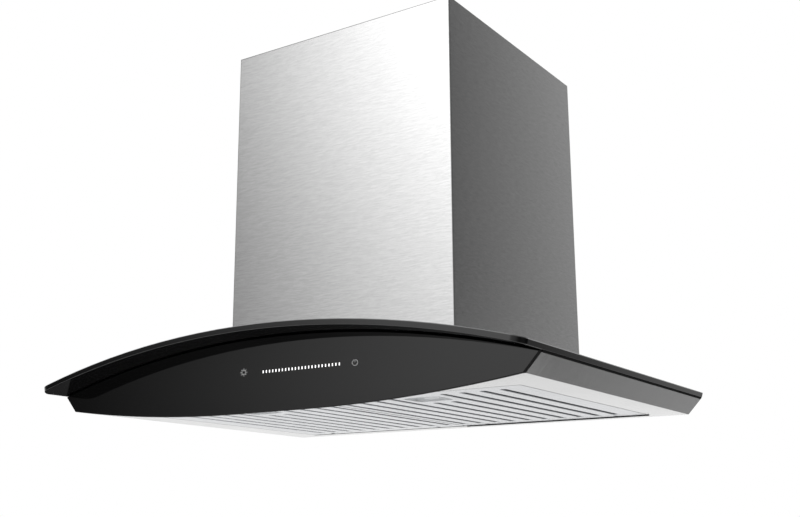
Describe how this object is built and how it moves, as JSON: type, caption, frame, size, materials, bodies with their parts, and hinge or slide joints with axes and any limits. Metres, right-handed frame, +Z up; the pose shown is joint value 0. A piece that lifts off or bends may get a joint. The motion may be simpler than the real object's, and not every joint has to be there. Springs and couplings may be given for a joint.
{
  "type": "wall-mounted range hood",
  "caption": "Wall-mounted chimney range hood with an arched black glass canopy, flat touch panel, tilting slotted baffle filters and a steel chimney that telescopes.",
  "frame": {"origin": "on the wall plane, at the middle of the tray's lower back edge", "axes": "+X to the right as the user faces the hood, +Y into the wall, +Z up"},
  "size_m": [0.5996, 0.455, 0.4535],
  "materials": {
    "tray_steel": "brushed stainless sheet",
    "chimney_steel": "fine horizontal brushed stainless sheet",
    "filter_steel": "satin stainless sheet",
    "zinc_sheet": "zinc-coated sheet",
    "black_glass": "gloss black toughened glass",
    "panel_glass": "gloss black toughened glass, back-printed",
    "black_rubber": "matt",
    "circuit_board": "solder mask",
    "dark_plastic": "fine moulded",
    "pale_plastic": "satin moulded",
    "fan_plastic": "moulded",
    "motor_metal": "cast and painted",
    "bright_steel": "polished",
    "spring_steel": "rolled strip",
    "lamp_glass": "frosted diffuser",
    "lamp_metal": "cast"
  },
  "bodies": {
    "hood": {"tray": "tray_steel", "deck": "zinc_sheet", "lower_chimney": "chimney_steel", "glass_canopy": "black_glass", "glass_gasket": "black_rubber", "control_panel": "panel_glass", "panel_tape": "black_rubber", "touch_board": "circuit_board", "touch_housing": "dark_plastic", "motor_box": "zinc_sheet", "scroll_casing": "dark_plastic", "inlet_ring_left": "dark_plastic", "inlet_ring_right": "dark_plastic", "motor": "motor_metal", "motor_carrier": "zinc_sheet", "capacitor": "pale_plastic", "capacitor_clip": "zinc_sheet", "outlet_collar": "dark_plastic", "flap_pin": "bright_steel", "terminal_box": "dark_plastic", "terminal_lid": "dark_plastic", "cable_gland": "dark_plastic", "filter_hinge_brackets": "zinc_sheet", "lamp_left_bezel": "bright_steel", "lamp_left_lens": "lamp_glass", "lamp_left_housing": "lamp_metal", "filter_left_keeper": "spring_steel", "lamp_right_bezel": "bright_steel", "lamp_right_lens": "lamp_glass", "lamp_right_housing": "lamp_metal", "filter_right_keeper": "spring_steel"},
    "left_filter": {"filter_left_face": "filter_steel", "filter_left_baffle": "filter_steel", "filter_left_cup": "pale_plastic", "filter_left_pivots": "bright_steel", "filter_left_latch_springs": "spring_steel"},
    "right_filter": {"filter_right_face": "filter_steel", "filter_right_baffle": "filter_steel", "filter_right_cup": "pale_plastic", "filter_right_pivots": "bright_steel", "filter_right_latch_springs": "spring_steel"},
    "left_latch": {"filter_left_latch": "pale_plastic"},
    "right_latch": {"filter_right_latch": "pale_plastic"},
    "impeller": {"impeller": "fan_plastic", "motor_shaft": "bright_steel"},
    "front_flap": {"flap_front": "pale_plastic"},
    "rear_flap": {"flap_rear": "pale_plastic"},
    "upper_chimney": {"upper_chimney": "chimney_steel", "chimney_bracket": "zinc_sheet"}
  },
  "joints": [
    {"name": "left_filter_tilt", "type": "hinge", "parent": "hood", "child": "left_filter", "pos_m": [-0.1211, -0.03, 0.0045], "axis": [1, 0, 0], "range_deg": [0, 55], "deforming": ["filter_left_keeper"]},
    {"name": "left_latch_slide", "type": "slide", "parent": "left_filter", "child": "left_latch", "axis": [0, 1, 0], "range_m": [0, 0.007], "stiffness_N_per_m": 250, "springref_m": -0.004, "deforming": ["filter_left_latch_springs"]},
    {"name": "right_filter_tilt", "type": "hinge", "parent": "hood", "child": "right_filter", "pos_m": [0.1211, -0.03, 0.0045], "axis": [1, 0, 0], "range_deg": [0, 55], "deforming": ["filter_right_keeper"]},
    {"name": "right_latch_slide", "type": "slide", "parent": "right_filter", "child": "right_latch", "axis": [0, 1, 0], "range_m": [0, 0.007], "stiffness_N_per_m": 250, "springref_m": -0.004, "deforming": ["filter_right_latch_springs"]},
    {"name": "impeller_spin", "type": "hinge", "parent": "hood", "child": "impeller", "pos_m": [0, -0.201, 0.1785], "axis": [1, 0, 0], "continuous": true},
    {"name": "front_flap_swing", "type": "hinge", "parent": "hood", "child": "front_flap", "pos_m": [0, -0.153, 0.35], "axis": [-1, 0, 0], "range_deg": [0, 75]},
    {"name": "rear_flap_swing", "type": "hinge", "parent": "hood", "child": "rear_flap", "pos_m": [0, -0.153, 0.35], "axis": [1, 0, 0], "range_deg": [0, 75]},
    {"name": "upper_chimney_slide", "type": "slide", "parent": "hood", "child": "upper_chimney", "axis": [0, 0, 1], "range_m": [0, 0.3]}
  ]
}
